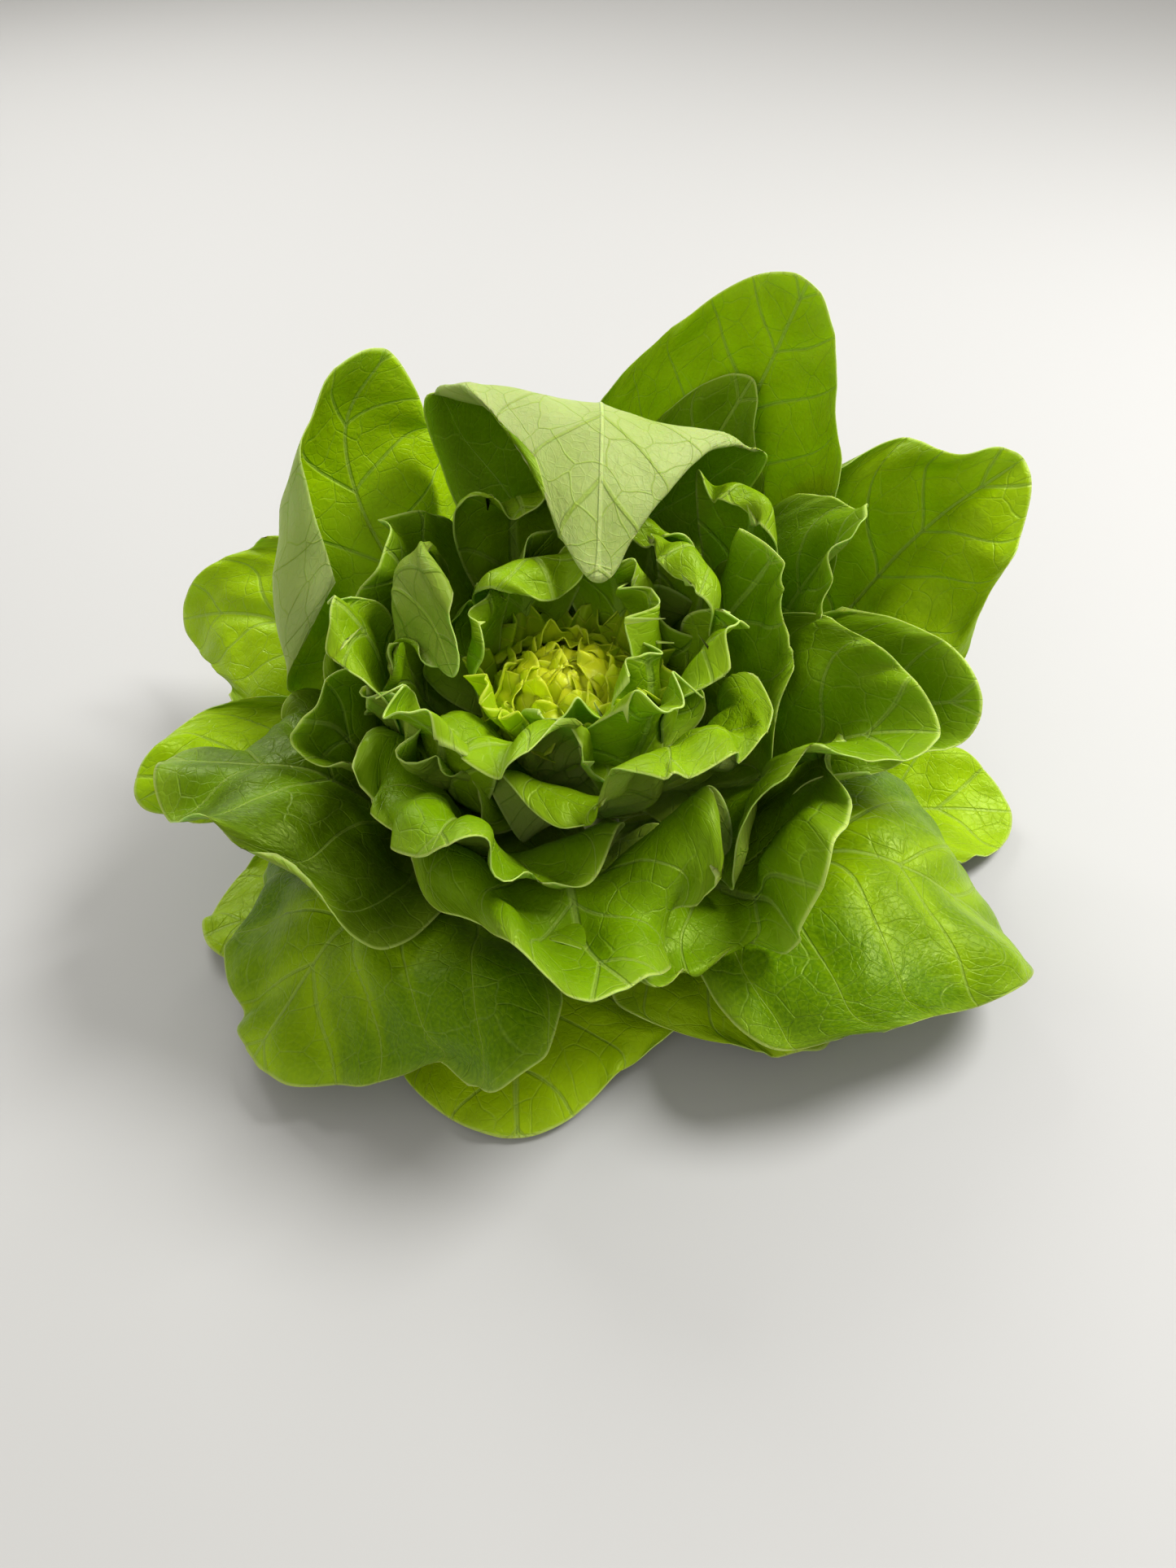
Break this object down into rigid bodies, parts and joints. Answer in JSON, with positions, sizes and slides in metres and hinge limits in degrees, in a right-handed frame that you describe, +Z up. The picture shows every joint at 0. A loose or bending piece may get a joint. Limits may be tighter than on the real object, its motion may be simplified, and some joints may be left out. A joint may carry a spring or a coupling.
{
  "type": "head of lettuce",
  "caption": "Whole butterhead lettuce with soft, ruffled leaves opened out round a tight yellow-green heart, standing on its cut stem; a fresh salad vegetable.",
  "frame": {"origin": "centre of the cut face of the stem, on which the head stands", "axes": "+Z up along the stem, -Y towards the head's front, where the outer leaves lie lowest, +X to its right"},
  "size_m": [0.2992, 0.2176, 0.1588],
  "materials": {
    "stem": "pale, moist cut stem",
    "heart": "satin, crinkled yellow-green leaves",
    "leaf": "satin, mid-green leaves with a paler under side"
  },
  "bodies": {
    "root": {"stem": "stem", "heart": "heart", "leaf_inner_right": "leaf", "leaf_inner_back": "leaf", "leaf_inner_front_left": "leaf", "leaf_inner_front": "leaf", "leaf_folded_inwards": "leaf", "leaf_layered_left": "leaf", "leaf_front_curl": "leaf", "leaf_right_tongue": "leaf", "leaf_front_waves": "leaf", "leaf_right_cup": "leaf", "leaf_left_wave": "leaf", "leaf_folded_over": "leaf", "leaf_back_right_rim": "leaf", "leaf_front_sweep": "leaf", "leaf_back_left_rim": "leaf", "leaf_right_wave": "leaf", "leaf_left_lobes": "leaf", "leaf_back_right_dark": "leaf", "leaf_left_out": "leaf", "leaf_left_folded": "leaf", "leaf_back_upright": "leaf", "leaf_right_cupped": "leaf", "leaf_right_front_low": "leaf", "leaf_front_left_low": "leaf", "leaf_back_left_low": "leaf", "leaf_back_low": "leaf", "leaf_right_low": "leaf", "leaf_back_right_low": "leaf", "leaf_left_low": "leaf", "leaf_right_front_under": "leaf", "leaf_front_low": "leaf"}
  },
  "joints": []
}
